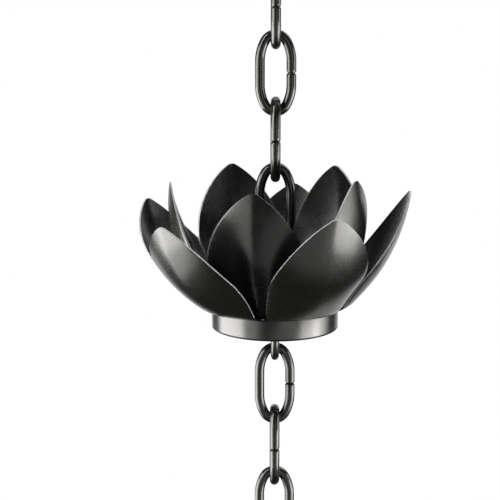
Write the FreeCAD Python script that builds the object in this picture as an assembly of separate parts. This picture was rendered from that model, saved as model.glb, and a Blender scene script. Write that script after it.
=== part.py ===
import FreeCAD, Part
import math
import os

from FreeCAD import Vector

# A hanging section of rain chain: seven oval wire links and one lotus cup, +Z up, in millimetres.
# The origin is the point where a hook bears on the inside of the top link's eye.
# All links hang straight down. Links alternate between facing front (-Y) and facing the side.

# Chain links, each bent from round wire and butted shut on one leg
LINK_WIRE = 4.8
LINK_LENGTH = 42.0
LINK_WIDTH = 20.0
LINK_TIP_RADIUS = 5.8
LINK_FLANK_RADIUS = 20.0
BUTT_GAP = 0.5
BUTT_CHAMFER = 0.5
LINKS_ABOVE = 4
LINKS_BELOW = 3
HOOK_GAP = 0.1
# links that were hung the other way round, with the butt on the opposite leg
TURNED_LINKS = ("upper_link_4",)

# Hanger loop, a long link of thinner wire that carries the cup
HANGER_WIRE = 4.0
HANGER_LENGTH = 66.6
HANGER_WIDTH = 18.4
HANGER_TIP_RADIUS = 5.6
HANGER_FLANK_RADIUS = 20.0
EYE_ABOVE_RING = 45.2

# Base ring and the strap across it
RING_OUTER_DIAMETER = 62.6
RING_WALL = 1.5
RING_HEIGHT = 10.5
RING_EDGE_ROUND = 0.4
STRAP_WIDTH = 9.0
STRAP_THICKNESS = 2.0
STRAP_HOLE_CLEARANCE = 0.0

# Petal sheet, shared by both whorls
SHEET = 0.9
PETALS = 5
PETAL_LENGTH = 70.2
PETAL_HALF_WIDTH = 25.7
PETAL_WIDEST_AT = 31.0
PETAL_BELLY_PULL = 6.4
PETAL_ROOT_FLARE_ANGLE = 29.8
PETAL_ROOT_PULL = 13.9
PETAL_TIP_HALF_ANGLE = 59.2
PETAL_TIP_PULL = 20.8
PETAL_TIP_RADIUS = 4.7
PETAL_TIP_FLAT = 1.8
PETAL_CUP_RADIUS_AT_ROOT = 24.0
PETAL_CUP_RADIUS_AT_TIP = 64.0
PETAL_CUP_WIDENS_OVER = 60.0
PETAL_SWING = 32.8
CREASE_ANGLE = 5.8
CREASE_FROM = 18.0
CREASE_SOFTNESS = 1.2
DRAIN_DIAMETER = 30.0
GAP_RELIEF = 1.2

# Outer whorl: low, opened petals on a wide disc. All angles are in degrees.
OUTER_DISC_RADIUS = RING_OUTER_DIAMETER / 2
OUTER_ROOT_HALF_ANGLE = 31.2
OUTER_ROOT_BEND = 10.3
OUTER_RISE_ANGLE = 33.4
OUTER_TIP_ANGLE = 79.6
OUTER_TURN_ANGLE = 24.3
# each petal was set by hand: lean adds to its slope, curl straightens it from root to tip
# and shift moves its tip sideways
OUTER_LEAN_ANGLES = [5.0, 7.1, -4.3, -4.6, -3.2]
OUTER_CURL_ANGLES = [0.2, 5.3, -0.5, -8.0, -0.6]
OUTER_SHIFT_ANGLES = [-1.0, -3.6, 3.3, -1.6, 3.3]

# Inner whorl: upright petals on a smaller disc, half a pitch round
INNER_DISC_INSET = 3.8
INNER_DISC_RADIUS = OUTER_DISC_RADIUS - INNER_DISC_INSET
INNER_ROOT_HALF_ANGLE = 29.6
INNER_ROOT_BEND = 6.0
INNER_RISE_ANGLE = 54.7
INNER_TIP_ANGLE = 98.1
INNER_TURN_ANGLE = OUTER_TURN_ANGLE - 180.0 / PETALS
INNER_LEAN_ANGLES = [-1.0, 3.8, 4.7, -2.7, -3.8]
INNER_CURL_ANGLES = [-2.4, -0.1, -1.0, 2.5, -3.9]
INNER_SHIFT_ANGLES = [-1.6, 1.6, 0.4, 1.6, -1.6]

# Fineness of the petal surfaces
OUTLINE_STEPS = 7
ROOT_STEPS = 9
ROOT_GRADING = 1.6
TIP_STEPS = 2
ACROSS = (-1.0, -0.75, -0.5, -0.25, -0.1, 0.0, 0.1, 0.25, 0.5, 0.75, 1.0)
MIDRIB_STEP = 0.25
NORMAL_STEP = 0.05
SEW_TOLERANCE = 0.0001


def smooth(x):
    """Rises from 0 to 1 as x does, level at both ends."""
    x = min(max(x, 0.0), 1.0)
    return x * x * (3.0 - 2.0 * x)


# Chain


def link_path(length, width, wire, tip_radius, flank_radius):
    """The link's centreline in the XZ plane about its own centre, from one side of the butt to the other."""
    half_width = (width - wire) / 2
    half_length = (length - wire) / 2
    flank_in = flank_radius - half_width
    tip_rise = math.sqrt((flank_radius - tip_radius) ** 2 - flank_in**2)
    tip_centre = half_length - tip_radius
    leg_end = tip_centre - tip_rise
    turn = math.atan2(tip_rise, flank_in)

    def on_flank(angle, side, end):
        x = flank_radius * math.cos(angle) - flank_in
        z = leg_end + flank_radius * math.sin(angle)
        return Vector(side * x, 0, end * z)

    def end_arcs(end, first_side):
        """Flank, tip and flank arcs over the link's end, starting on first_side."""
        tip = Vector(0, 0, end * half_length)
        near, far = (on_flank(turn, side, end) for side in (first_side, -first_side))
        return [
            Part.Arc(on_flank(0, first_side, end), on_flank(turn / 2, first_side, end), near).toShape(),
            Part.Arc(near, tip, far).toShape(),
            Part.Arc(far, on_flank(turn / 2, -first_side, end), on_flank(0, -first_side, end)).toShape(),
        ]

    def leg(x, z_from, z_to):
        return Part.LineSegment(Vector(x, 0, z_from), Vector(x, 0, z_to)).toShape()

    edges = [leg(half_width, BUTT_GAP / 2, leg_end)]
    edges += end_arcs(1, 1)
    edges += [leg(-half_width, leg_end, -leg_end)]
    edges += end_arcs(-1, -1)
    edges += [leg(half_width, -leg_end, -BUTT_GAP / 2)]
    return Part.Wire(edges)


def link(length, width, wire, tip_radius, flank_radius):
    """A link about its own centre, facing front, its butt on the right leg and both wire ends chamfered."""
    path = link_path(length, width, wire, tip_radius, flank_radius)
    start = Vector((width - wire) / 2, 0, BUTT_GAP / 2)
    section = Part.Face(Part.Wire(Part.makeCircle(wire / 2, start, Vector(0, 0, 1))))
    body = path.makePipe(section)
    ends = [
        edge
        for edge in body.Edges
        if abs(abs(edge.CenterOfMass.z) - BUTT_GAP / 2) < 1e-6 and edge.CenterOfMass.x > 0
    ]
    return body.makeChamfer(BUTT_CHAMFER, ends)


def chain_link(name, centre_z, faces_side):
    """A chain link in place, its butt on the right leg, or on the front leg if it faces the side."""
    shape = link(LINK_LENGTH, LINK_WIDTH, LINK_WIRE, LINK_TIP_RADIUS, LINK_FLANK_RADIUS)
    turn = (-90 if faces_side else 0) + (180 if name in TURNED_LINKS else 0)
    shape.rotate(Vector(0, 0, 0), Vector(0, 0, 1), turn)
    shape.translate(Vector(0, 0, centre_z))
    return shape


def hanger_loop(cup_z):
    """The long link that stands on edge in the cup, its eyes above the petals' roots and below the ring."""
    shape = link(HANGER_LENGTH, HANGER_WIDTH, HANGER_WIRE, HANGER_TIP_RADIUS, HANGER_FLANK_RADIUS)
    shape.rotate(Vector(0, 0, 0), Vector(0, 0, 1), 90)
    top_inside = cup_z + EYE_ABOVE_RING
    shape.translate(Vector(0, 0, top_inside + HANGER_WIRE - HANGER_LENGTH / 2))
    return shape


# Cup base


def base_ring(cup_z):
    """The short tube that the petals stand on."""
    outer = RING_OUTER_DIAMETER / 2
    tube = Part.makeCylinder(outer, RING_HEIGHT)
    tube = tube.cut(Part.makeCylinder(outer - RING_WALL, RING_HEIGHT))
    rims = [
        edge
        for edge in tube.Edges
        if edge.Curve.TypeId == "Part::GeomCircle" and edge.CenterOfMass.z < RING_HEIGHT / 2
    ]
    tube = tube.makeFillet(RING_EDGE_ROUND, rims)
    tube.translate(Vector(0, 0, cup_z))
    return tube


def cross_strap(cup_z):
    """The flat bar across the ring, front to back, drilled for the hanger's two legs."""
    inside = RING_OUTER_DIAMETER / 2 - RING_WALL
    bar = Part.makeBox(STRAP_WIDTH, 2 * inside, STRAP_THICKNESS)
    bar.translate(Vector(-STRAP_WIDTH / 2, -inside, 0))
    bar = bar.common(Part.makeCylinder(inside, STRAP_THICKNESS))
    leg_y = (HANGER_WIDTH - HANGER_WIRE) / 2
    hole_radius = HANGER_WIRE / 2 + STRAP_HOLE_CLEARANCE
    for y in (-leg_y, leg_y):
        bar = bar.cut(Part.makeCylinder(hole_radius, STRAP_THICKNESS, Vector(0, y, 0)))
    bar.translate(Vector(0, 0, cup_z + RING_HEIGHT - STRAP_THICKNESS))
    return bar


# Petals


def bezier(poles, u):
    """A point (along, across) on the cubic curve with these four poles."""
    v = 1.0 - u
    weights = (v**3, 3 * v * v * u, 3 * v * u * u, u**3)
    return tuple(sum(w * pole[axis] for w, pole in zip(weights, poles)) for axis in (0, 1))


def petal_outline(root_half_width):
    """Half of the flat petal's outline: (distance up the petal, half width), from the disc to the tip."""
    flare = math.radians(PETAL_ROOT_FLARE_ANGLE)
    slant = math.radians(PETAL_TIP_HALF_ANGLE)
    arc_centre = PETAL_LENGTH - PETAL_TIP_RADIUS
    arc_start = (
        arc_centre + PETAL_TIP_RADIUS * math.sin(slant),
        PETAL_TIP_RADIUS * math.cos(slant),
    )
    belly = (PETAL_WIDEST_AT, PETAL_HALF_WIDTH)
    lower = [
        (0.0, root_half_width),
        (PETAL_ROOT_PULL * math.cos(flare), root_half_width + PETAL_ROOT_PULL * math.sin(flare)),
        (belly[0] - PETAL_BELLY_PULL, belly[1]),
        belly,
    ]
    upper = [
        belly,
        (belly[0] + PETAL_BELLY_PULL, belly[1]),
        (arc_start[0] - PETAL_TIP_PULL * math.cos(slant), arc_start[1] + PETAL_TIP_PULL * math.sin(slant)),
        arc_start,
    ]
    outline = [bezier(lower, (i / ROOT_STEPS) ** ROOT_GRADING) for i in range(ROOT_STEPS)]
    outline += [bezier(upper, i / OUTLINE_STEPS) for i in range(OUTLINE_STEPS)]
    last = math.asin(PETAL_TIP_FLAT / 2 / PETAL_TIP_RADIUS)
    for i in range(TIP_STEPS + 1):
        angle = (math.pi / 2 - slant) * (1 - i / TIP_STEPS) + last * i / TIP_STEPS
        outline.append((arc_centre + PETAL_TIP_RADIUS * math.cos(angle), PETAL_TIP_RADIUS * math.sin(angle)))
    return outline


class Petal:
    """One petal of a whorl: where each point of the flat sheet goes when it is pressed and bent up."""

    def __init__(self, whorl, direction, lean, curl, shift):
        self.disc_radius = whorl["disc_radius"]
        self.root_bend = whorl["root_bend"]
        self.rise = math.radians(whorl["rise"] + lean + curl)
        self.tip_slope = math.radians(whorl["tip_slope"] + lean - curl)
        self.direction = math.radians(direction)
        self.shift = math.radians(shift)
        self.height = whorl["height"]
        self.midrib = self.follow_midrib()

    def slope(self, s):
        """The mid-rib's angle above level, s up from the disc."""
        past_bend = max(0.0, s - self.root_bend) / (PETAL_LENGTH - self.root_bend)
        return self.rise * smooth(s / self.root_bend) + (self.tip_slope - self.rise) * past_bend

    def follow_midrib(self):
        """Points (radius, height) along the mid-rib, one each MIDRIB_STEP, a little past both ends."""
        radius, height = self.disc_radius, self.height
        points = [(radius, height)]
        for i in range(int(PETAL_LENGTH / MIDRIB_STEP) + 2):
            slope = self.slope((i + 0.5) * MIDRIB_STEP)
            radius += MIDRIB_STEP * math.cos(slope)
            height += MIDRIB_STEP * math.sin(slope)
            points.append((radius, height))
        return points

    def midrib_at(self, s):
        i = min(max(int(s / MIDRIB_STEP), 0), len(self.midrib) - 2)
        share = s / MIDRIB_STEP - i
        return tuple(a + share * (b - a) for a, b in zip(self.midrib[i], self.midrib[i + 1]))

    def sheet_point(self, s, t):
        """The middle of the sheet, s up from the disc and t across from the mid-rib."""
        slope = self.slope(s)
        swing = smooth(s / PETAL_SWING)
        widened = min(s / PETAL_CUP_WIDENS_OVER, 1.0)
        cup_radius = PETAL_CUP_RADIUS_AT_ROOT + (PETAL_CUP_RADIUS_AT_TIP - PETAL_CUP_RADIUS_AT_ROOT) * widened
        curve = (1 - swing) / self.disc_radius + swing / cup_radius
        inward = (math.pi / 2 - slope) * swing
        radius, height = self.midrib_at(s)
        across = math.sin(curve * t) / curve
        sag = (1 - math.cos(curve * t)) / curve
        radius -= sag * math.cos(inward)
        height += sag * math.sin(inward)
        fold = math.hypot(t, CREASE_SOFTNESS) - CREASE_SOFTNESS
        fold *= math.tan(math.radians(CREASE_ANGLE))
        fold *= smooth((s - CREASE_FROM) / (PETAL_LENGTH - CREASE_FROM))
        radius -= fold * math.sin(slope)
        height += fold * math.cos(slope)
        turn = self.direction + self.shift * swing
        return Vector(
            radius * math.sin(turn) + across * math.cos(turn),
            across * math.sin(turn) - radius * math.cos(turn),
            height,
        )

    def normal(self, s, t):
        """The sheet's normal, on the side that faces the chain."""
        if s < NORMAL_STEP:
            return Vector(0, 0, 1)
        up = self.sheet_point(s + NORMAL_STEP, t) - self.sheet_point(s - NORMAL_STEP, t)
        over = self.sheet_point(s, t + NORMAL_STEP) - self.sheet_point(s, t - NORMAL_STEP)
        return up.cross(over).normalize()

    def skin(self, outline, face):
        """A skin of the petal as a surface: face is -1 for the outside, 1 for the inside."""
        rows = []
        for s, half_width in outline:
            row = []
            for share in ACROSS:
                t = share * half_width
                row.append(self.sheet_point(s, t) + self.normal(s, t) * (face * SHEET / 2))
            rows.append(row)
        surface = Part.BSplineSurface()
        surface.interpolate(rows)
        return surface


def petal_faces(petal, outline):
    """The faces of one petal, and its root edge on the outside and inside skin."""
    skins = {face: petal.skin(outline, face) for face in (-1, 1)}
    edges = {}
    for face, skin in skins.items():
        first_u, last_u, first_v, last_v = skin.bounds()
        edges[face] = [
            skin.vIso(first_v).toShape(),
            skin.vIso(last_v).toShape(),
            skin.uIso(last_u).toShape(),
            skin.uIso(first_u).toShape(),
        ]
    faces = [skin.toShape() for skin in skins.values()]
    for outside, inside in list(zip(edges[-1], edges[1]))[:3]:
        faces.append(Part.makeRuledSurface(outside, inside))
    return faces, {face: edges[face][3] for face in (-1, 1)}


def gap_edge(before, after, disc_radius, z):
    """The relieved edge of the disc between two petals, bowed towards the centre."""
    angle = (before + after) / 2
    ends = []
    for at in (before, after):
        ends.append(Vector(disc_radius * math.sin(at), -disc_radius * math.cos(at), z))
    depth = disc_radius - GAP_RELIEF
    middle = Vector(depth * math.sin(angle), -depth * math.cos(angle), z)
    return Part.Arc(ends[0], middle, ends[1]).toShape()


def whorl(settings):
    """A ring of petals and the disc that joins them, pressed from one sheet and pierced for the drain."""
    disc_radius = settings["disc_radius"]
    half_angle = math.radians(settings["root_half_angle"])
    outline = petal_outline(disc_radius * half_angle)
    pitch = 360.0 / PETALS
    faces = []
    rims = {-1: [], 1: []}
    for number in range(PETALS):
        direction = settings["turn"] + pitch * number
        lean, curl, shift = (values[number % len(values)] for values in settings["set_by_hand"])
        petal = Petal(settings, direction, lean, curl, shift)
        sheet_faces, roots = petal_faces(petal, outline)
        faces += sheet_faces
        before = math.radians(direction) + half_angle
        after = math.radians(direction + pitch) - half_angle
        gaps = {}
        for face in (-1, 1):
            z = settings["height"] + face * SHEET / 2
            gaps[face] = gap_edge(before, after, disc_radius, z)
            rims[face] += [roots[face], gaps[face]]
        faces.append(Part.makeRuledSurface(gaps[-1], gaps[1]))
    for face in (-1, 1):
        rim = Part.Wire(Part.sortEdges(rims[face])[0])
        faces.append(Part.Face(rim))
    shell = Part.makeShell(faces)
    shell.sewShape(SEW_TOLERANCE)
    solid = Part.makeSolid(Part.Shell(shell.Faces))
    if solid.Volume < 0:
        solid.reverse()
    below = Vector(0, 0, settings["height"] - SHEET)
    return solid.cut(Part.makeCylinder(DRAIN_DIAMETER / 2, 2 * SHEET, below))


def outer_petals(cup_z):
    return whorl({
        "disc_radius": OUTER_DISC_RADIUS,
        "root_half_angle": OUTER_ROOT_HALF_ANGLE,
        "root_bend": OUTER_ROOT_BEND,
        "rise": OUTER_RISE_ANGLE,
        "tip_slope": OUTER_TIP_ANGLE,
        "turn": OUTER_TURN_ANGLE,
        "height": cup_z + RING_HEIGHT + SHEET / 2,
        "set_by_hand": (OUTER_LEAN_ANGLES, OUTER_CURL_ANGLES, OUTER_SHIFT_ANGLES),
    })


def inner_petals(cup_z):
    return whorl({
        "disc_radius": INNER_DISC_RADIUS,
        "root_half_angle": INNER_ROOT_HALF_ANGLE,
        "root_bend": INNER_ROOT_BEND,
        "rise": INNER_RISE_ANGLE,
        "tip_slope": INNER_TIP_ANGLE,
        "turn": INNER_TURN_ANGLE,
        "height": cup_z + RING_HEIGHT + SHEET * 3 / 2,
        "set_by_hand": (INNER_LEAN_ANGLES, INNER_CURL_ANGLES, INNER_SHIFT_ANGLES),
    })


# Assembly


def build():
    """Every piece by name, from the top of the chain down."""
    pitch = LINK_LENGTH - 2 * LINK_WIRE - HOOK_GAP
    inside_to_centre = LINK_LENGTH / 2 - LINK_WIRE
    pieces = {}
    inside_top = 0.0
    faces_side = True
    for number in range(1, LINKS_ABOVE + 1):
        name = f"upper_link_{number}"
        pieces[name] = chain_link(name, inside_top - inside_to_centre, faces_side)
        inside_top -= pitch
        faces_side = not faces_side
    cup_z = inside_top - EYE_ABOVE_RING
    pieces["hanger_loop"] = hanger_loop(cup_z)
    pieces["cross_strap"] = cross_strap(cup_z)
    pieces["base_ring"] = base_ring(cup_z)
    pieces["outer_petals"] = outer_petals(cup_z)
    pieces["inner_petals"] = inner_petals(cup_z)
    inside_top -= HANGER_LENGTH - 2 * HANGER_WIRE - HOOK_GAP
    faces_side = not faces_side
    for number in range(1, LINKS_BELOW + 1):
        name = f"lower_link_{number}"
        pieces[name] = chain_link(name, inside_top - inside_to_centre, faces_side)
        inside_top -= pitch
        faces_side = not faces_side
    return pieces


def main():
    os.makedirs("parts", exist_ok=True)
    for name, shape in build().items():
        shape.Solids[0].exportStep(f"parts/{name}.step")
        print(name, shape.ShapeType, len(shape.Solids), shape.isValid(), round(shape.Volume, 1))


main()
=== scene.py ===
import math

import bpy
from mathutils import Matrix, Vector


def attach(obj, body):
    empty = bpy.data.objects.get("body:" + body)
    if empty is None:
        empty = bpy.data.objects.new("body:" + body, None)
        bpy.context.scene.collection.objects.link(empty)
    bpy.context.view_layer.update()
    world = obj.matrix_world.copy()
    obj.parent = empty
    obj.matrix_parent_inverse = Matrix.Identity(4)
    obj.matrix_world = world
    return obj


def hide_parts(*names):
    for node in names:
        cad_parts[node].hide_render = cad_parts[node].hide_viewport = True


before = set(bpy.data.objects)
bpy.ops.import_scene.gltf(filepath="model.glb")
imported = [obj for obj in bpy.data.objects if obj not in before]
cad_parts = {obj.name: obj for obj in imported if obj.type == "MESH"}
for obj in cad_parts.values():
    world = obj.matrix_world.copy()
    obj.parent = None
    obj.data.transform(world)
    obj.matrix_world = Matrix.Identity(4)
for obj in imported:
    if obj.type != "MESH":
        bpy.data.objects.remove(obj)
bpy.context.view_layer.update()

# The object's sizes are in millimetres, as in the CAD source, and its meshes are scaled to metres
# when they are made. The studio's sizes are in metres. Angles are in degrees where nothing else is said.
MM = 0.001

# Links and hanger loop, each bent from round wire and butted shut on one leg. Tip and flank are the
# radii of the wire's centreline.
LINK = {"length": 42.0, "width": 20.0, "wire": 4.8, "tip": 5.8, "flank": 20.0}
HANGER = {"length": 66.6, "width": 18.4, "wire": 4.0, "tip": 5.6, "flank": 20.0}
BUTT_GAP = 0.15
BUTT_ROUND = 0.85
HOOK_GAP = 0.1
LINKS_ABOVE = 4
LINKS_BELOW = 3
PITCH = LINK["length"] - 2 * LINK["wire"] - HOOK_GAP
# links that were hung the other way round, with the butt on the opposite leg
TURNED_LINKS = ("upper_link_4",)

# Base ring. The hanger's upper eye is EYE_ABOVE_RING above its bottom, and the painted shade on its
# lower edge reaches RING_DARK_EDGE up its side.
EYE_ABOVE_RING = 45.2
RING_RADIUS = 31.3
RING_WALL = 1.5
RING_HEIGHT = 10.5
RING_EDGE_ROUND = 0.6
RING_DARK_EDGE = 0.95
RING_BOTTOM = -LINKS_ABOVE * PITCH - EYE_ABOVE_RING
RING_TOP = RING_BOTTOM + RING_HEIGHT

# Petal sheet, shared by both whorls. A pull is how far the outline's curve is drawn out at its end,
# and over PETAL_SWING the petal leaves the disc's round edge for its own cupping.
SHEET = 0.9
SHEET_EDGE_ROUND = 0.42
PETALS = 5
PETAL_LENGTH = 70.2
PETAL_HALF_WIDTH = 25.7
PETAL_WIDEST_AT = 31.0
PETAL_BELLY_PULL = 6.4
PETAL_ROOT_FLARE = 29.8
PETAL_ROOT_PULL = 13.9
PETAL_TIP_HALF_ANGLE = 59.2
PETAL_TIP_PULL = 20.8
PETAL_TIP_RADIUS = 4.7
PETAL_CUP_RADIUS_AT_ROOT = 24.0
PETAL_CUP_RADIUS_AT_TIP = 64.0
PETAL_CUP_WIDENS_OVER = 60.0
PETAL_SWING = 32.8
CREASE_ANGLE = 5.8
CREASE_FROM = 18.0
CREASE_SOFTNESS = 1.2
DRAIN_RADIUS = 15.0
DISC_INSET = 3.8
GAP_RELIEF = 1.2
GAP_RELIEF_POWER = 0.8
OUTER_TURN = 24.3

# The whorls: the disc's radius and height, the first petal's turn, half the angle that a root takes
# up, the length of the bend at the root, and the midrib's slope after it and at the tip. Each petal
# was set by hand: lean adds to its slope, curl straightens it from root to tip and shift moves its
# tip sideways.
OUTER = {
    "disc": RING_RADIUS, "height": RING_TOP + SHEET / 2,
    "turn": OUTER_TURN,
    "root_angle": 31.2, "bend": 10.3, "rise": 33.4, "tip_slope": 79.6,
    "lean": [5.0, 7.1, -4.3, -4.6, -3.2],
    "curl": [0.2, 5.3, -0.5, -8.0, -0.6],
    "shift": [-1.0, -3.6, 3.3, -1.6, 3.3],
}
INNER = {
    "disc": RING_RADIUS - DISC_INSET, "height": RING_TOP + SHEET * 3 / 2,
    "turn": OUTER_TURN - 180.0 / PETALS,
    "root_angle": 29.6, "bend": 6.0, "rise": 54.7, "tip_slope": 98.1,
    "lean": [-1.0, 3.8, 4.7, -2.7, -3.8],
    "curl": [-2.4, -0.1, -1.0, 2.5, -3.9],
    "shift": [-1.6, 1.6, 0.4, 1.6, -1.6],
}

# Fineness of the meshes
WIRE_SIDES = 40
WIRE_STEP = 0.9
STRAIGHT_WIRE_STEP = 2 * WIRE_STEP
BUTT_ROUND_STEPS = 4
RING_SEGMENTS = 192
RING_ROUND_STEPS = 4
OUTLINE_STEPS = 26
TIP_STEPS = 5
HALF_COLUMNS = 16
COLUMN_GRADING = 1.25
MIDRIB_STEP = 0.25
GAP_STEPS = 6
DISC_STEPS = 8
SHEET_EDGE_STEPS = 2
# only edges sharper than this are rounded
SHEET_EDGE_ANGLE = 50.0
# the tip's arc stops this many radians short of its middle, so that the last row has a width
TIP_STOPS_SHORT = 0.12

# Paint: the two blacks that each one mottles between, noise scales in features per metre and bump
# depths in metres. Most of a noise lies between NOISE_LOW and NOISE_HIGH.
SHEET_BLACKS = (0.0044, 0.0041, 0.0036), (0.0071, 0.0066, 0.0059)
CHAIN_BLACKS = (0.0065, 0.0061, 0.0056), (0.0128, 0.0121, 0.0112)
# painted shade for the ring's lower edge and for its top edge under the petals
RING_SHADE_BLACKS = (0.003, 0.003, 0.003), (0.005, 0.005, 0.005)
MOTTLE_SCALE = 60.0
GLOSS_SCALE = 140.0
PEEL_SCALE = 160.0
PEEL_DEPTH = 0.0006
GRAIN_SCALE = 1800.0
GRAIN_DEPTH = 0.0002
NOISE_LOW = 0.3
NOISE_HIGH = 0.7

# Cut edges of the sheet: painted shade up to EDGE_HIGHLIGHT_FROM above the ring, a painted highlight
# EDGE_HIGHLIGHT_OVER further up
EDGE_HIGHLIGHT_FROM = 2.1 * SHEET
EDGE_HIGHLIGHT_OVER = 1.5
# the colours of the cut edges' painted shade and painted highlight
EDGE_SHADE = (0.004, 0.004, 0.0041)
EDGE_HIGHLIGHT = (0.85, 0.85, 0.85)
# noise that varies the strength of the painted highlight along the edges
EDGE_NOISE_SCALE = 90.0
EDGE_NOISE_SPAN = (0.35, 0.65)
EDGE_HIGHLIGHT_STRENGTH = (0.7, 1.0)

# Studio. Its lamps and cards stand round a point in the cup, AIM_ABOVE_RING over the ring's bottom.
# The cards make a booth that is open at the back, and BOOTH_REACH is how far back each side goes.
AIM_ABOVE_RING = 35.0
CUP_CENTRE = Vector((0.0, 0.0, (RING_BOTTOM + AIM_ABOVE_RING) * MM))
FLOOR_DROP = 1.8
FLOOR_HALF_SIZE = 6.0
FLOOR_COLOUR = (0.82, 0.83, 0.82, 1.0)
BOOTH_WIDTH = 3.8
BOOTH_HEIGHT = 3.0
BOOTH_REACH = {"left": 3.6, "right": 2.4, "bottom": 2.4, "top": 2.3}
BOOTH_COLOUR = (0.02, 0.02, 0.02, 1.0)
WORLD_COLOUR = (0.5, 0.495, 0.483, 1.0)
LAMP_DISTANCE = 1.2
LAMP_COLOUR = (1.0, 0.988, 0.965)

# Soft lights as the cup sees them: azimuth from the front to the right, elevation, the azimuths and
# the height spanned, and the radiance
SOFTBOXES = {
    "left_softbox": (-88.5, -20, 61, 37, 5.95),
    "left_middle_softbox": (-74, 9, 44, 19, 5.0),
    "left_high_softbox": (-59, 34, 17, 32, 7.0),
    "left_low_softbox": (-93, -44.5, 55, 16, 2.2),
    "left_front_strip": (-40, -14, 18, 50, 1.05),
    "right_softbox": (66.5, -22, 43, 31, 4.6),
    "right_side_softbox": (87, -4, 34, 38, 3.0),
    "right_high_softbox": (122, 42, 40, 31, 2.5),
    "right_low_softbox": (155, -46, 34, 30, 0.66),
    "top_fill": (0, 84, 150, 70, 0.4),
    "back_high_softbox": (180, 56, 60, 34, 1.0),
    "front_low_fill": (42, -33, 105, 52, 0.36),
    "front_strip": (22, 9, 26, 34, 0.6),
}

# Camera, from the photograph's perspective: its place is in the object's millimetres
CAMERA_ASIDE = -12.41
CAMERA_DISTANCE = 800.0
CAMERA_ABOVE_RING = 203.1
CAMERA_PITCH = 11.62
CAMERA_LENS = 119.1
CAMERA_SENSOR = 36.0


def smooth(x):
    """Rises from 0 to 1 as x does, level at both ends."""
    x = min(max(x, 0.0), 1.0)
    return x * x * (3.0 - 2.0 * x)


# Node materials


def new_material(name):
    material = bpy.data.materials.new(name)
    material.use_nodes = True
    nodes = material.node_tree.nodes
    return material, nodes, material.node_tree.links, nodes["Principled BSDF"]


def noise(nodes, links, where, scale, detail, roughness):
    node = nodes.new("ShaderNodeTexNoise")
    node.inputs["Scale"].default_value = scale
    node.inputs["Detail"].default_value = detail
    node.inputs["Roughness"].default_value = roughness
    links.new(where, node.inputs["Vector"])
    return node.outputs["Fac"]


def remap(nodes, links, value, low, high, to_low, to_high):
    node = nodes.new("ShaderNodeMapRange")
    for socket, number in zip(("From Min", "From Max", "To Min", "To Max"), (low, high, to_low, to_high)):
        node.inputs[socket].default_value = number
    links.new(value, node.inputs["Value"])
    return node.outputs["Result"]


def calculate(nodes, links, operation, first, second):
    node = nodes.new("ShaderNodeMath")
    node.operation = operation
    links.new(first, node.inputs[0])
    links.new(second, node.inputs[1])
    return node.outputs[0]


def mix_colour(nodes, links, share, first, second):
    node = nodes.new("ShaderNodeMix")
    node.data_type = "RGBA"
    node.inputs[6].default_value = (*first, 1.0)
    node.inputs[7].default_value = (*second, 1.0)
    links.new(share, node.inputs[0])
    return node.outputs[2]


def bump(nodes, links, height, distance, strength, under=None):
    node = nodes.new("ShaderNodeBump")
    node.inputs["Distance"].default_value = distance
    node.inputs["Strength"].default_value = strength
    links.new(height, node.inputs["Height"])
    if under is not None:
        links.new(under, node.inputs["Normal"])
    return node.outputs["Normal"]


def paint(name, blacks, roughness, grain, peel, specular, ior=1.6):
    """Satin black paint over metal: mottled colour and gloss, fine grain and a slow orange peel."""
    material, nodes, links, shader = new_material(name)
    where = nodes.new("ShaderNodeTexCoord").outputs["Object"]
    mottle = noise(nodes, links, where, MOTTLE_SCALE, detail=4.0, roughness=0.6)
    share = remap(nodes, links, mottle, NOISE_LOW, NOISE_HIGH, 0.0, 1.0)
    links.new(mix_colour(nodes, links, share, *blacks), shader.inputs["Base Color"])
    patches = noise(nodes, links, where, GLOSS_SCALE, detail=3.0, roughness=0.6)
    links.new(remap(nodes, links, patches, NOISE_LOW, NOISE_HIGH, *roughness), shader.inputs["Roughness"])
    waves = noise(nodes, links, where, PEEL_SCALE, detail=2.0, roughness=0.5)
    specks = noise(nodes, links, where, GRAIN_SCALE, detail=2.0, roughness=0.5)
    slow = bump(nodes, links, waves, PEEL_DEPTH, peel)
    links.new(bump(nodes, links, specks, GRAIN_DEPTH, grain, slow), shader.inputs["Normal"])
    shader.inputs["IOR"].default_value = ior
    shader.inputs["Specular IOR Level"].default_value = specular
    return material


def edge_highlight_and_shade(sheet):
    """The cut edge of the sheet: a painted highlight up the petals, its strength varied by noise, and
    painted shade down at the disc.
    """
    material = sheet.copy()
    material.name = "edge_highlight_and_shade"
    nodes, links = material.node_tree.nodes, material.node_tree.links
    shader = nodes["Principled BSDF"]
    where = nodes.new("ShaderNodeTexCoord").outputs["Object"]
    split = nodes.new("ShaderNodeSeparateXYZ")
    links.new(where, split.inputs[0])
    low = (RING_TOP + EDGE_HIGHLIGHT_FROM) * MM
    up = remap(nodes, links, split.outputs["Z"], low, low + EDGE_HIGHLIGHT_OVER * MM, 0.0, 1.0)
    patches = noise(nodes, links, where, EDGE_NOISE_SCALE, detail=3.0, roughness=0.6)
    highlight_strength = remap(nodes, links, patches, *EDGE_NOISE_SPAN, *EDGE_HIGHLIGHT_STRENGTH)
    highlight_share = calculate(nodes, links, "MULTIPLY", up, highlight_strength)
    links.new(mix_colour(nodes, links, highlight_share, EDGE_SHADE, EDGE_HIGHLIGHT), shader.inputs["Base Color"])
    for socket, when_shaded, when_highlit in (
        ("Metallic", 0.0, 0.25),
        ("Roughness", 0.7, 0.4),
        ("Specular IOR Level", 0.05, 0.5),
    ):
        links.new(remap(nodes, links, highlight_share, 0.0, 1.0, when_shaded, when_highlit), shader.inputs[socket])
    return material


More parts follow.
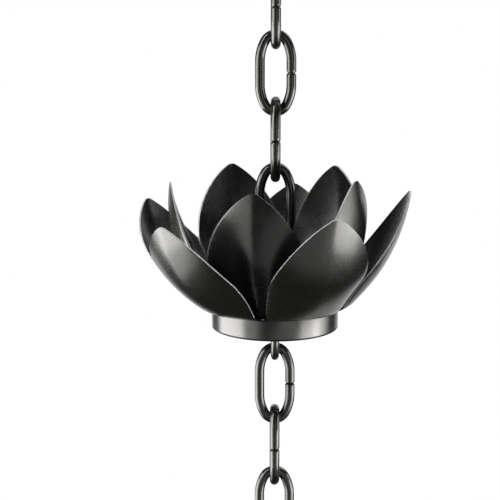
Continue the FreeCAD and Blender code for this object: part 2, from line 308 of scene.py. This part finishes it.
sheet_paint = paint(
    "sheet_paint", SHEET_BLACKS, roughness=(0.25, 0.29), grain=0.06, peel=0.05, specular=0.85
)
ring_paint = paint(
    "ring_paint", SHEET_BLACKS, roughness=(0.27, 0.31), grain=0.05, peel=0.015, specular=1.0, ior=1.65
)
# painted shade along the ring's lower edge and its top edge under the petals: a darker, duller black
ring_edge_shade = paint(
    "ring_edge_shade", RING_SHADE_BLACKS, roughness=(0.45, 0.5), grain=0.05, peel=0.0, specular=0.15
)
chain_paint = paint(
    "chain_paint", CHAIN_BLACKS, roughness=(0.16, 0.24), grain=0.02, peel=0.06, specular=0.8
)
# the cut edges' painted highlight up the petals and painted shade at the disc
edge_light_paint = edge_highlight_and_shade(sheet_paint)


# Meshes


def make_object(name, vertices, faces, materials, face_materials=None, unit=MM):
    mesh = bpy.data.meshes.new(name)
    mesh.from_pydata([Vector(v) * unit for v in vertices], [], faces)
    mesh.update()
    for material in materials:
        mesh.materials.append(material)
    if face_materials:
        mesh.polygons.foreach_set("material_index", face_materials)
    mesh.polygons.foreach_set("use_smooth", [True] * len(mesh.polygons))
    piece = bpy.data.objects.new(name, mesh)
    bpy.context.scene.collection.objects.link(piece)
    return piece


# Chain


def link_centreline(size):
    """Points (x, z) round a link from one side of its butt to the other, about its own centre."""
    half_width = (size["width"] - size["wire"]) / 2
    half_length = (size["length"] - size["wire"]) / 2
    flank, tip = size["flank"], size["tip"]
    flank_in = flank - half_width
    rise = math.sqrt((flank - tip) ** 2 - flank_in**2)
    tip_centre = half_length - tip
    leg_end = tip_centre - rise
    turn = math.atan2(rise, flank_in)
    pi = math.pi

    def run(start, end):
        count = max(1, round(math.dist(start, end) / STRAIGHT_WIRE_STEP))
        return [tuple(a + (b - a) * i / count for a, b in zip(start, end)) for i in range(count)]

    def arc(centre, radius, start, end):
        count = max(3, round(radius * abs(end - start) / WIRE_STEP))
        angles = [start + (end - start) * i / count for i in range(count)]
        return [(centre[0] + radius * math.cos(a), centre[1] + radius * math.sin(a)) for a in angles]

    points = run((half_width, BUTT_GAP / 2), (half_width, leg_end))
    points += arc((-flank_in, leg_end), flank, 0, turn)
    points += arc((0, tip_centre), tip, turn, pi - turn)
    points += arc((flank_in, leg_end), flank, pi - turn, pi)
    points += run((-half_width, leg_end), (-half_width, -leg_end))
    points += arc((flank_in, -leg_end), flank, pi, pi + turn)
    points += arc((0, -tip_centre), tip, pi + turn, 2 * pi - turn)
    points += arc((-flank_in, -leg_end), flank, 2 * pi - turn, 2 * pi)
    points += run((half_width, -leg_end), (half_width, -BUTT_GAP / 2))
    points.append((half_width, -BUTT_GAP / 2))
    return points


def butt_profile(radius):
    """Pairs (distance along the wire, radius) from the flat of a cut end over its rounded edge."""
    profile = [(0.0, radius - BUTT_ROUND)]
    for k in range(1, BUTT_ROUND_STEPS + 1):
        a = math.pi / 2 * k / BUTT_ROUND_STEPS
        profile.append((BUTT_ROUND * (1 - math.cos(a)), radius - BUTT_ROUND * (1 - math.sin(a))))
    return profile


def link_mesh(name, size, centre_z, quarter_turns):
    """A link as a swept round wire with rounded ends at the butt."""
    path = link_centreline(size)
    radius = size["wire"] / 2
    turn = Matrix.Rotation(math.pi / 2 * quarter_turns, 3, "Z")
    vertices, faces = [], []

    def add_circle(point, tangent, r, along):
        side = Vector((tangent[1], 0, -tangent[0]))
        for i in range(WIRE_SIDES):
            a = 2 * math.pi * i / WIRE_SIDES
            offset = side * (r * math.cos(a)) + Vector((0, r * math.sin(a), 0))
            at = Vector((point[0] + tangent[0] * along, 0, point[1] + tangent[1] * along)) + offset
            vertices.append(turn @ at + Vector((0, 0, centre_z)))

    stations = []
    for i, point in enumerate(path):
        before, after = path[max(i - 1, 0)], path[min(i + 1, len(path) - 1)]
        length = math.dist(before, after)
        stations.append((point, ((after[0] - before[0]) / length, (after[1] - before[1]) / length)))
    for along, r in butt_profile(radius):
        add_circle(*stations[0], r, along)
    for point, tangent in stations[1:-1]:
        add_circle(point, tangent, radius, 0)
    for along, r in reversed(butt_profile(radius)):
        add_circle(*stations[-1], r, -along)
    count = len(vertices) // WIRE_SIDES
    for i in range(count - 1):
        a, b = i * WIRE_SIDES, (i + 1) * WIRE_SIDES
        for j in range(WIRE_SIDES):
            k = (j + 1) % WIRE_SIDES
            faces.append((a + j, a + k, b + k, b + j))
    faces.append(tuple(reversed(range(WIRE_SIDES))))
    faces.append(tuple(range((count - 1) * WIRE_SIDES, count * WIRE_SIDES)))
    return make_object(name, vertices, faces, [chain_paint])


def build_chain():
    """The links hang straight down, facing the side and the front in turn."""
    inside_to_centre = LINK["length"] / 2 - LINK["wire"]
    eye_top = RING_BOTTOM + EYE_ABOVE_RING
    first_lower = eye_top - (HANGER["length"] - 2 * HANGER["wire"]) + HOOK_GAP
    places = [(f"upper_link_{i + 1}", -PITCH * i, i % 2 == 0) for i in range(LINKS_ABOVE)]
    places += [(f"lower_link_{i + 1}", first_lower - PITCH * i, i % 2 == 1) for i in range(LINKS_BELOW)]
    for node, inside_top, faces_side in places:
        quarter_turns = (-1 if faces_side else 0) + (2 if node in TURNED_LINKS else 0)
        piece = link_mesh(f"{node}_wire", LINK, inside_top - inside_to_centre, quarter_turns)
        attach(piece, node)
        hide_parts(node)
    centre = eye_top + HANGER["wire"] - HANGER["length"] / 2
    piece = link_mesh("hanger_loop_wire", HANGER, centre, 1)
    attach(piece, "cup")
    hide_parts("hanger_loop")


# Ring and strap


def ring_profile():
    """Points (radius, height) round the band's section, up its outside and down its inside."""
    r = RING_EDGE_ROUND
    outside, inside = RING_RADIUS - r, RING_RADIUS - RING_WALL + r
    quarter = [math.pi / 2 * k / RING_ROUND_STEPS for k in range(RING_ROUND_STEPS + 1)]
    profile = []
    for centre, height, start in (
        (outside, r, -math.pi / 2),
        (outside, RING_HEIGHT - r, 0.0),
        (inside, RING_HEIGHT - r, math.pi / 2),
        (inside, r, math.pi),
    ):
        for a in quarter:
            profile.append((centre + r * math.cos(start + a), height + r * math.sin(start + a)))
    profile.insert(len(quarter), (RING_RADIUS, RING_DARK_EDGE))
    return profile


def build_ring():
    """The band, with painted shade on its lower and upper edges."""
    profile = ring_profile()
    count = len(profile)
    vertices, faces, face_materials = [], [], []
    for i in range(RING_SEGMENTS):
        a = 2 * math.pi * i / RING_SEGMENTS
        for radius, z in profile:
            vertices.append((radius * math.cos(a), radius * math.sin(a), RING_BOTTOM + z))
    for i in range(RING_SEGMENTS):
        a, b = i * count, (i + 1) % RING_SEGMENTS * count
        for j in range(count):
            k = (j + 1) % count
            faces.append((a + j, b + j, b + k, a + k))
            low, high = sorted((profile[j][1], profile[k][1]))
            edge = high <= RING_DARK_EDGE or low >= RING_HEIGHT - RING_EDGE_ROUND
            face_materials.append(1 if edge else 0)
    piece = make_object("base_ring_band", vertices, faces, [ring_paint, ring_edge_shade], face_materials)
    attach(piece, "cup")
    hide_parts("base_ring")


def paint_strap():
    """The strap keeps its CAD mesh."""
    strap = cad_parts["cross_strap"]
    strap.data.materials.clear()
    strap.data.materials.append(ring_paint)


# Petals


def bezier(poles, u):
    v = 1.0 - u
    weights = (v**3, 3 * v * v * u, 3 * v * u * u, u**3)
    return tuple(sum(w * pole[axis] for w, pole in zip(weights, poles)) for axis in (0, 1))


def petal_outline(root_half_width):
    """Pairs (distance along the midrib, half width) from the root over the belly to the tip."""
    flare = math.radians(PETAL_ROOT_FLARE)
    slant = math.radians(PETAL_TIP_HALF_ANGLE)
    arc_centre = PETAL_LENGTH - PETAL_TIP_RADIUS
    arc_start = (arc_centre + PETAL_TIP_RADIUS * math.sin(slant), PETAL_TIP_RADIUS * math.cos(slant))
    belly = (PETAL_WIDEST_AT, PETAL_HALF_WIDTH)
    lower = [
        (0.0, root_half_width),
        (PETAL_ROOT_PULL * math.cos(flare), root_half_width + PETAL_ROOT_PULL * math.sin(flare)),
        (belly[0] - PETAL_BELLY_PULL, belly[1]),
        belly,
    ]
    upper = [
        belly,
        (belly[0] + PETAL_BELLY_PULL, belly[1]),
        (arc_start[0] - PETAL_TIP_PULL * math.cos(slant), arc_start[1] + PETAL_TIP_PULL * math.sin(slant)),
        arc_start,
    ]
    outline = [bezier(lower, i / OUTLINE_STEPS) for i in range(OUTLINE_STEPS)]
    outline += [bezier(upper, i / OUTLINE_STEPS) for i in range(OUTLINE_STEPS)]
    for i in range(TIP_STEPS + 1):
        a = (math.pi / 2 - slant) * (1 - i / TIP_STEPS) + TIP_STOPS_SHORT * i / TIP_STEPS
        outline.append((arc_centre + PETAL_TIP_RADIUS * math.cos(a), PETAL_TIP_RADIUS * math.sin(a)))
    return outline


def petal_midrib(whorl, lean, curl):
    """Two functions of the distance along the midrib: its slope and its point (radius, height)."""
    rise = math.radians(whorl["rise"] + lean + curl)
    tip_slope = math.radians(whorl["tip_slope"] + lean - curl)

    def slope(s):
        past = max(0.0, s - whorl["bend"]) / (PETAL_LENGTH - whorl["bend"])
        return rise * smooth(s / whorl["bend"]) + (tip_slope - rise) * past

    points = [(whorl["disc"], whorl["height"])]
    for i in range(int(PETAL_LENGTH / MIDRIB_STEP) + 2):
        a = slope((i + 0.5) * MIDRIB_STEP)
        points.append((points[-1][0] + MIDRIB_STEP * math.cos(a), points[-1][1] + MIDRIB_STEP * math.sin(a)))

    def at(s):
        i = min(max(int(s / MIDRIB_STEP), 0), len(points) - 2)
        share = s / MIDRIB_STEP - i
        return tuple(a + share * (b - a) for a, b in zip(points[i], points[i + 1]))

    return slope, at


def petal_point(whorl, slope, midrib, direction, shift, s, t):
    """The point s along the midrib and t across it. The root follows the disc's round edge, and
    the petal swings out of it into its own cupping and then its crease."""
    angle = slope(s)
    swing = smooth(s / PETAL_SWING)
    widened = min(s / PETAL_CUP_WIDENS_OVER, 1.0)
    cup_radius = PETAL_CUP_RADIUS_AT_ROOT + (PETAL_CUP_RADIUS_AT_TIP - PETAL_CUP_RADIUS_AT_ROOT) * widened
    curve = (1 - swing) / whorl["disc"] + swing / cup_radius
    inward = (math.pi / 2 - angle) * swing
    radius, height = midrib(s)
    across = math.sin(curve * t) / curve
    sag = (1 - math.cos(curve * t)) / curve
    radius -= sag * math.cos(inward)
    height += sag * math.sin(inward)
    fold = (math.hypot(t, CREASE_SOFTNESS) - CREASE_SOFTNESS) * math.tan(math.radians(CREASE_ANGLE))
    fold *= smooth((s - CREASE_FROM) / (PETAL_LENGTH - CREASE_FROM))
    radius -= fold * math.sin(angle)
    height += fold * math.cos(angle)
    turn = direction + shift * swing
    return (
        radius * math.sin(turn) + across * math.cos(turn),
        across * math.sin(turn) - radius * math.cos(turn),
        height,
    )


def petal_rows(whorl, number, direction, outline, shares):
    """The points of one petal, in rows from its root to its tip."""
    shift = math.radians(whorl["shift"][number])
    slope, midrib = petal_midrib(whorl, whorl["lean"][number], whorl["curl"][number])
    return [
        [petal_point(whorl, slope, midrib, direction, shift, s, share * half_width) for share in shares]
        for s, half_width in outline
    ]


def disc_point(whorl, radius, a):
    """The point of the flat disc at an angle from the front towards +X."""
    return (radius * math.sin(a), -radius * math.cos(a), whorl["height"])


def whorl_surface(whorl):
    """The middle surface of the pressed sheet: the petals, and the disc from their roots to the hole."""
    half_angle = math.radians(whorl["root_angle"])
    outline = petal_outline(whorl["disc"] * half_angle)
    columns = range(-HALF_COLUMNS, HALF_COLUMNS + 1)
    shares = [math.copysign(abs(i / HALF_COLUMNS) ** COLUMN_GRADING, i) for i in columns]
    pitch = 2 * math.pi / PETALS
    vertices, faces = [], []

    def add(points):
        """Adds the points and gives their numbers."""
        vertices.extend(points)
        return range(len(vertices) - len(points), len(vertices))

    def join(low, high):
        for j in range(len(low) - 1):
            faces.append((low[j], low[j + 1], high[j + 1], high[j]))

    angles, rim = [], []
    for number in range(PETALS):
        direction = math.radians(whorl["turn"]) + pitch * number
        rows = [add(row) for row in petal_rows(whorl, number, direction, outline, shares)]
        for low, high in zip(rows, rows[1:]):
            join(low, high)
        angles += [direction + share * half_angle for share in shares]
        rim += rows[0]
        before, after = direction + half_angle, direction + pitch - half_angle
        for i in range(1, GAP_STEPS):
            a = before + (after - before) * i / GAP_STEPS
            relief = GAP_RELIEF * math.sin(math.pi * i / GAP_STEPS) ** GAP_RELIEF_POWER
            angles.append(a)
            rim += add([disc_point(whorl, whorl["disc"] - relief, a)])

    outer = [math.hypot(*vertices[index][:2]) for index in rim]
    for step in range(1, DISC_STEPS + 1):
        inward = step / DISC_STEPS
        radii = [radius + (DRAIN_RADIUS - radius) * inward for radius in outer]
        inner = add([disc_point(whorl, radius, a) for radius, a in zip(radii, angles)])
        join([*inner, inner[0]], [*rim, rim[0]])
        rim = inner
    return vertices, faces


def build_whorl(name, node, whorl):
    """The pressed sheet at its thickness, with its cut edges rounded and as a second material, which carries
    their painted highlight and painted shade.
    """
    piece = make_object(name, *whorl_surface(whorl), [sheet_paint, edge_light_paint])
    solid = piece.modifiers.new("sheet", "SOLIDIFY")
    solid.thickness = SHEET * MM
    solid.offset = 0.0
    solid.use_even_offset = True
    solid.material_offset_rim = 1
    rounding = piece.modifiers.new("edges", "BEVEL")
    rounding.width = SHEET_EDGE_ROUND * MM
    rounding.segments = SHEET_EDGE_STEPS
    rounding.limit_method = "ANGLE"
    rounding.angle_limit = math.radians(SHEET_EDGE_ANGLE)
    rounding.material = 1
    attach(piece, "cup")
    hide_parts(node)


# Studio


def white_when_seen(nodes, links, plain, output):
    """White to camera, glossy and transmission rays, and the plain shader to all others."""
    rays = nodes.new("ShaderNodeLightPath").outputs
    seen = calculate(nodes, links, "MAXIMUM", rays["Is Camera Ray"], rays["Is Glossy Ray"])
    seen = calculate(nodes, links, "MAXIMUM", seen, rays["Is Transmission Ray"])
    white = nodes.new("ShaderNodeBackground" if plain.node.type == "BACKGROUND" else "ShaderNodeEmission")
    white.inputs["Color"].default_value = (1.0, 1.0, 1.0, 1.0)
    mix = nodes.new("ShaderNodeMixShader")
    links.new(seen, mix.inputs[0])
    links.new(plain, mix.inputs[1])
    links.new(white.outputs[0], mix.inputs[2])
    links.new(mix.outputs[0], output)


def build_floor():
    """A pale floor, well below the hanging chain."""
    half, z = FLOOR_HALF_SIZE, -FLOOR_DROP
    corners = [(-half, -half, z), (half, -half, z), (half, half, z), (-half, half, z)]
    material, nodes, links, shader = new_material("pale_floor")
    shader.inputs["Base Color"].default_value = FLOOR_COLOUR
    shader.inputs["Roughness"].default_value = 0.9
    white_when_seen(nodes, links, shader.outputs["BSDF"], nodes["Material Output"].inputs["Surface"])
    make_object("floor", corners, [(0, 1, 2, 3)], [material], unit=1.0)


def build_booth():
    """Dark cards in front of the cup, beside, under and over it, for the dark zones in the paint.
    The camera doesn't see them."""
    material, _, _, shader = new_material("dark_card")
    shader.inputs["Base Color"].default_value = BOOTH_COLOUR
    shader.inputs["Roughness"].default_value = 1.0
    w, reach = BOOTH_WIDTH / 2, BOOTH_REACH
    low, high = CUP_CENTRE.z - BOOTH_HEIGHT / 2, CUP_CENTRE.z + BOOTH_HEIGHT / 2
    corners = [(-w, -w, low), (w, -w, low), (w, -w, high), (-w, -w, high)]
    for x, side in ((-w, "left"), (w, "right")):
        corners += [(x, -w, low), (x, reach[side], low), (x, reach[side], high), (x, -w, high)]
    for z, side in ((low, "bottom"), (high, "top")):
        corners += [(-w, -w, z), (w, -w, z), (w, reach[side], z), (-w, reach[side], z)]
    cards = [tuple(range(i, i + 4)) for i in range(0, len(corners), 4)]
    booth = make_object("dark_booth", corners, cards, [material], unit=1.0)
    booth.visible_camera = False


def softbox(name, azimuth, elevation, span, tall, radiance):
    """A soft light at its place round the cup, facing it and as large as the angles that it spans."""
    a, e = math.radians(azimuth), math.radians(elevation)
    width, height = (2 * LAMP_DISTANCE * math.tan(math.radians(angle) / 2) for angle in (span, tall))
    light = bpy.data.lights.new(name, "AREA")
    light.shape = "RECTANGLE"
    light.color = LAMP_COLOUR
    light.size = width * math.cos(e)
    light.size_y = height
    light.energy = radiance * math.pi * light.size * light.size_y
    lamp = bpy.data.objects.new(name, light)
    away = Vector((math.sin(a) * math.cos(e), -math.cos(a) * math.cos(e), math.sin(e)))
    lamp.location = CUP_CENTRE + LAMP_DISTANCE * away
    lamp.rotation_euler = away.to_track_quat("Z", "Y").to_euler()
    bpy.context.scene.collection.objects.link(lamp)


def build_world():
    world = bpy.data.worlds.new("studio")
    bpy.context.scene.world = world
    world.use_nodes = True
    nodes = world.node_tree.nodes
    background = nodes["Background"]
    background.inputs["Color"].default_value = WORLD_COLOUR
    output = nodes["World Output"].inputs["Surface"]
    white_when_seen(nodes, world.node_tree.links, background.outputs[0], output)


def build_camera():
    camera = bpy.data.objects.new("camera", bpy.data.cameras.new("camera"))
    camera.data.lens = CAMERA_LENS
    camera.data.sensor_width = CAMERA_SENSOR
    camera.location = Vector((CAMERA_ASIDE, -CAMERA_DISTANCE, RING_BOTTOM + CAMERA_ABOVE_RING)) * MM
    camera.rotation_euler = (math.radians(90 - CAMERA_PITCH), 0, 0)
    bpy.context.scene.collection.objects.link(camera)
    bpy.context.scene.camera = camera


build_chain()
build_ring()
build_whorl("outer_petals_sheet", "outer_petals", OUTER)
build_whorl("inner_petals_sheet", "inner_petals", INNER)
paint_strap()

build_floor()
build_booth()
for name, light in SOFTBOXES.items():
    softbox(name, *light)
build_world()
build_camera()
bpy.context.scene.view_settings.view_transform = "Standard"
